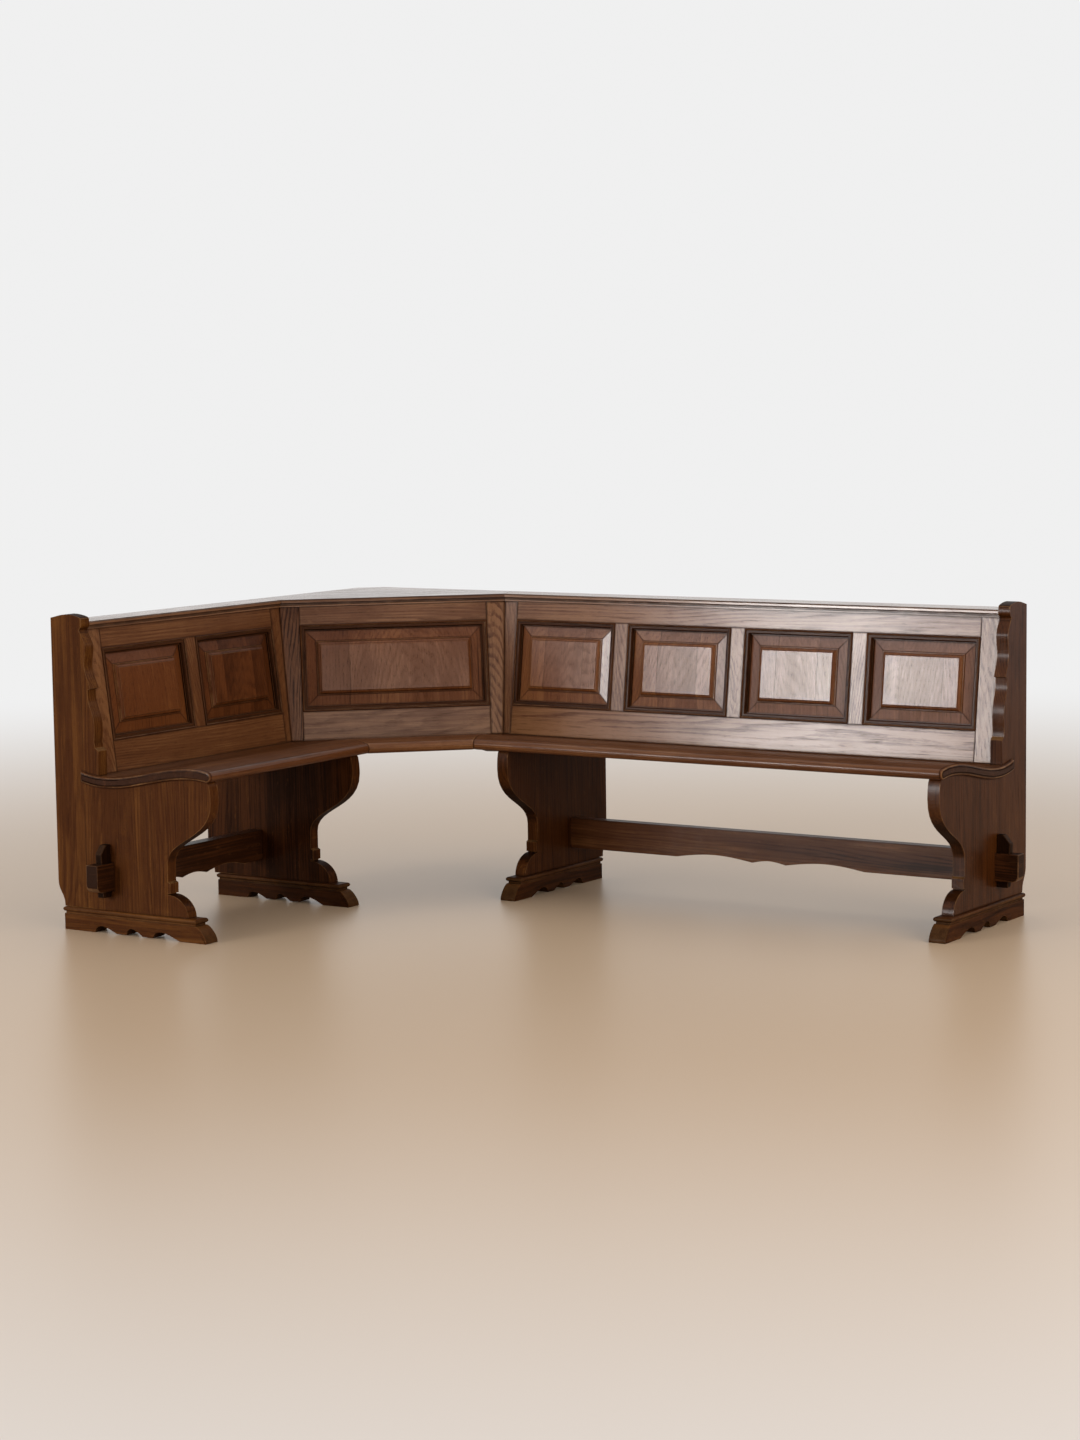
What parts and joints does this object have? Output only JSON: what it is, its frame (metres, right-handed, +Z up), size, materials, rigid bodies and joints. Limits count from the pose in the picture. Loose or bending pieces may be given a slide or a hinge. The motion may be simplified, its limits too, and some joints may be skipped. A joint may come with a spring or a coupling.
{
  "type": "corner bench",
  "caption": "Dark oak L-shaped corner bench: reclined raised-panel backs, dished seats, shaped end boards on sledge feet, and stretchers locked with tusk keys.",
  "frame": {"origin": "on the floor, under the middle of the bench's outline", "axes": "+X along the long bench, away from the corner; +Y to the wall behind the long bench; +Z up. The short bench stands against the wall on the -X side."},
  "size_m": [2.354, 1.576, 0.891],
  "materials": {
    "leg_oak": "stained oak, satin varnish",
    "frame_oak": "stained oak, satin varnish",
    "panel_oak": "stained oak, half-gloss varnish",
    "seat_oak": "stained oak, half-gloss varnish",
    "key_oak": "dark stained oak, satin varnish",
    "steel": "zinc-plated plate"
  },
  "bodies": {
    "bench": {"long_end_board": "leg_oak", "long_inner_leg": "leg_oak", "long_end_foot": "leg_oak", "long_inner_foot": "leg_oak", "long_stretcher": "leg_oak", "long_seat": "seat_oak", "long_top_rail": "frame_oak", "long_bottom_rail": "frame_oak", "long_corner_stile": "frame_oak", "long_end_stile": "frame_oak", "long_muntin_1": "frame_oak", "long_muntin_2": "frame_oak", "long_muntin_3": "frame_oak", "long_panel_1": "panel_oak", "long_panel_2": "panel_oak", "long_panel_3": "panel_oak", "long_panel_4": "panel_oak", "long_panel_moulding_1": "frame_oak", "long_panel_moulding_2": "frame_oak", "long_panel_moulding_3": "frame_oak", "long_panel_moulding_4": "frame_oak", "long_cap": "frame_oak", "short_end_board": "leg_oak", "short_inner_leg": "leg_oak", "short_end_foot": "leg_oak", "short_inner_foot": "leg_oak", "short_stretcher": "leg_oak", "short_seat": "seat_oak", "short_top_rail": "frame_oak", "short_bottom_rail": "frame_oak", "short_corner_stile": "frame_oak", "short_end_stile": "frame_oak", "short_muntin": "frame_oak", "short_panel_1": "panel_oak", "short_panel_2": "panel_oak", "short_panel_moulding_1": "frame_oak", "short_panel_moulding_2": "frame_oak", "short_cap": "frame_oak", "corner_seat": "seat_oak", "corner_shelf": "frame_oak", "corner_top_rail": "frame_oak", "corner_bottom_rail": "frame_oak", "corner_short_side_stile": "frame_oak", "corner_long_side_stile": "frame_oak", "corner_panel": "panel_oak", "corner_panel_moulding": "frame_oak", "corner_bearer_short_side": "leg_oak", "corner_bearer_long_side": "leg_oak", "coupling_plate_short_side_upper": "steel", "coupling_plate_short_side_lower": "steel", "coupling_plate_long_side_upper": "steel", "coupling_plate_long_side_lower": "steel"},
    "long_end_wedge": {"long_end_key": "key_oak"},
    "long_inner_wedge": {"long_inner_key": "key_oak"},
    "short_end_wedge": {"short_end_key": "key_oak"},
    "short_inner_wedge": {"short_inner_key": "key_oak"}
  },
  "joints": [
    {"name": "long_end_key_slide", "type": "slide", "parent": "bench", "child": "long_end_wedge", "axis": [0, 0, 1], "range_m": [0, 0.085]},
    {"name": "long_inner_key_slide", "type": "slide", "parent": "bench", "child": "long_inner_wedge", "axis": [0, 0, 1], "range_m": [0, 0.085]},
    {"name": "short_end_key_slide", "type": "slide", "parent": "bench", "child": "short_end_wedge", "axis": [0, 0, 1], "range_m": [0, 0.085]},
    {"name": "short_inner_key_slide", "type": "slide", "parent": "bench", "child": "short_inner_wedge", "axis": [0, 0, 1], "range_m": [0, 0.085]}
  ]
}
